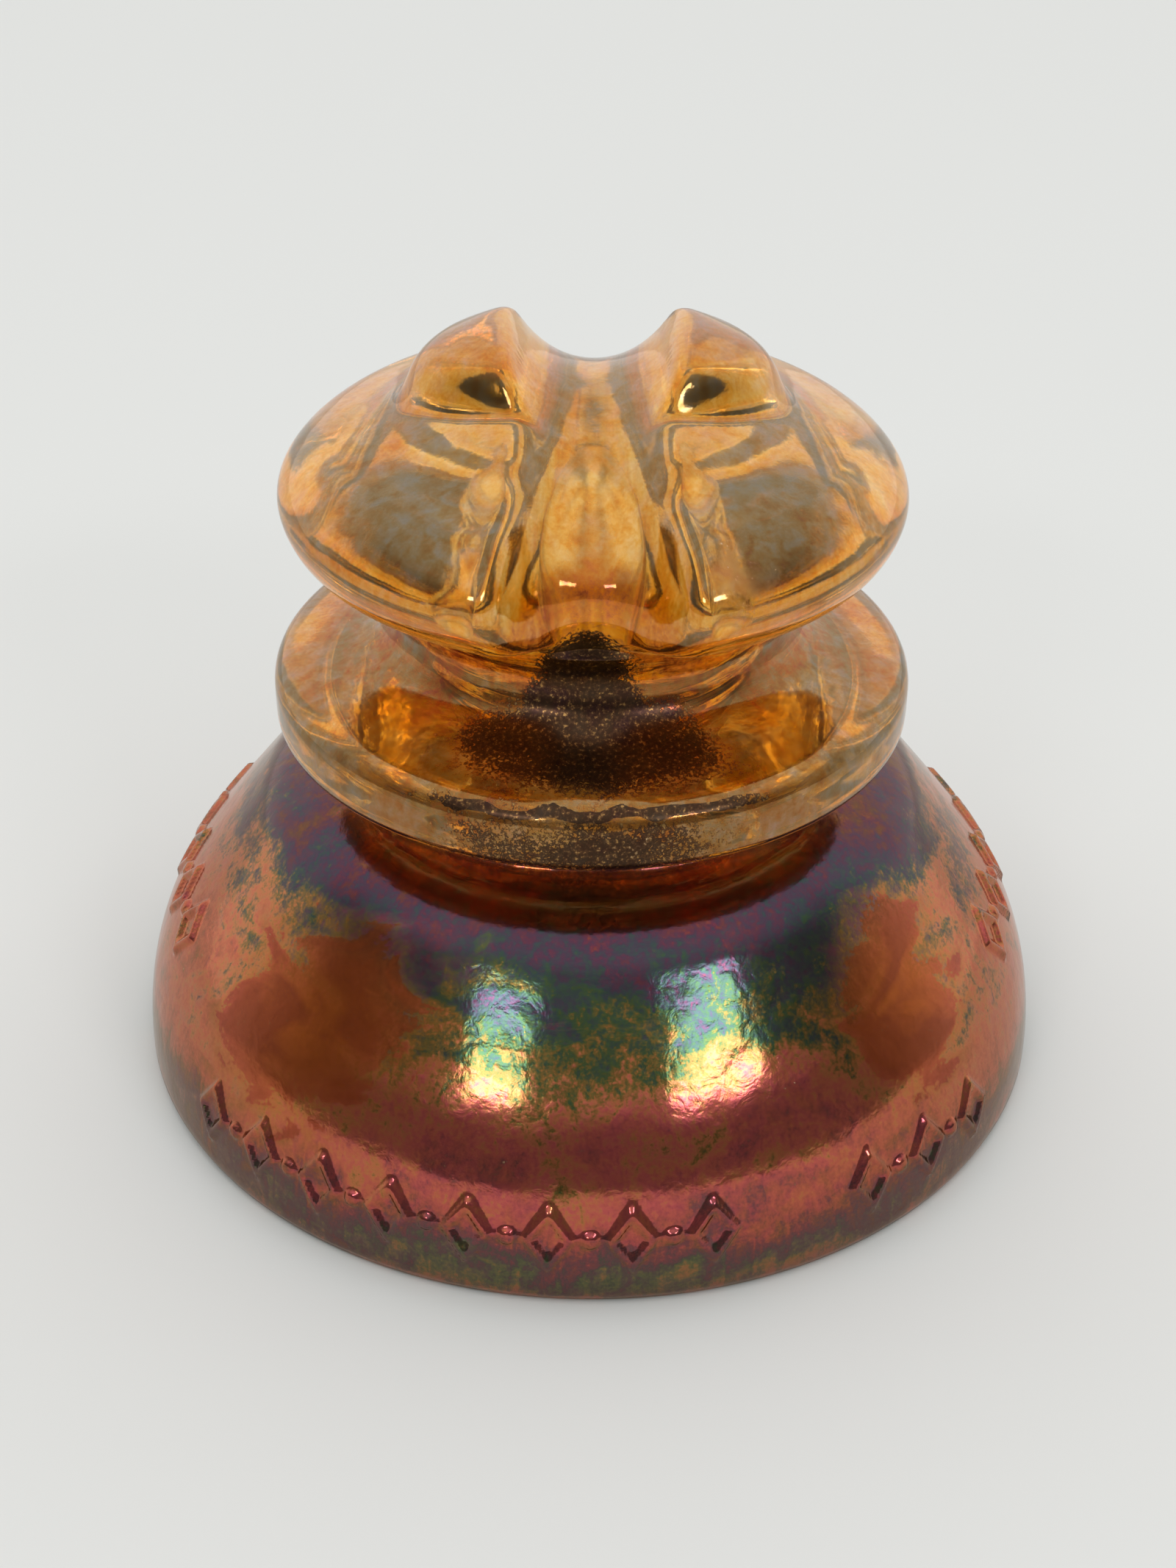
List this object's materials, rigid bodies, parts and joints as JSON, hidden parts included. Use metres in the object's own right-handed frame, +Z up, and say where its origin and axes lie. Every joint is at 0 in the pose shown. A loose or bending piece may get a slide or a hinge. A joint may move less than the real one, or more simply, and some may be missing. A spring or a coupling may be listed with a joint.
{
  "type": "glass insulator",
  "caption": "Pin-type glass insulator with a bell skirt, collar, tie-wire groove and a saddle groove between two ears, with an iridescent amber and ruby lustre coating.",
  "frame": {"origin": "centre of the resting rim, on the plane that the insulator stands on", "axes": "+Z up along the pinhole, towards the crown; Y along the saddle groove, where the conductor lies; X from ear to ear"},
  "size_m": [0.12, 0.12, 0.0997],
  "materials": {
    "pressed_glass": "clear pressed borosilicate glass, fire polished",
    "lustre_film": "fired-on iridescent metal oxide, glossy"
  },
  "bodies": {
    "root": {"glass_body": "pressed_glass", "lustre_coating": "lustre_film"}
  },
  "joints": []
}
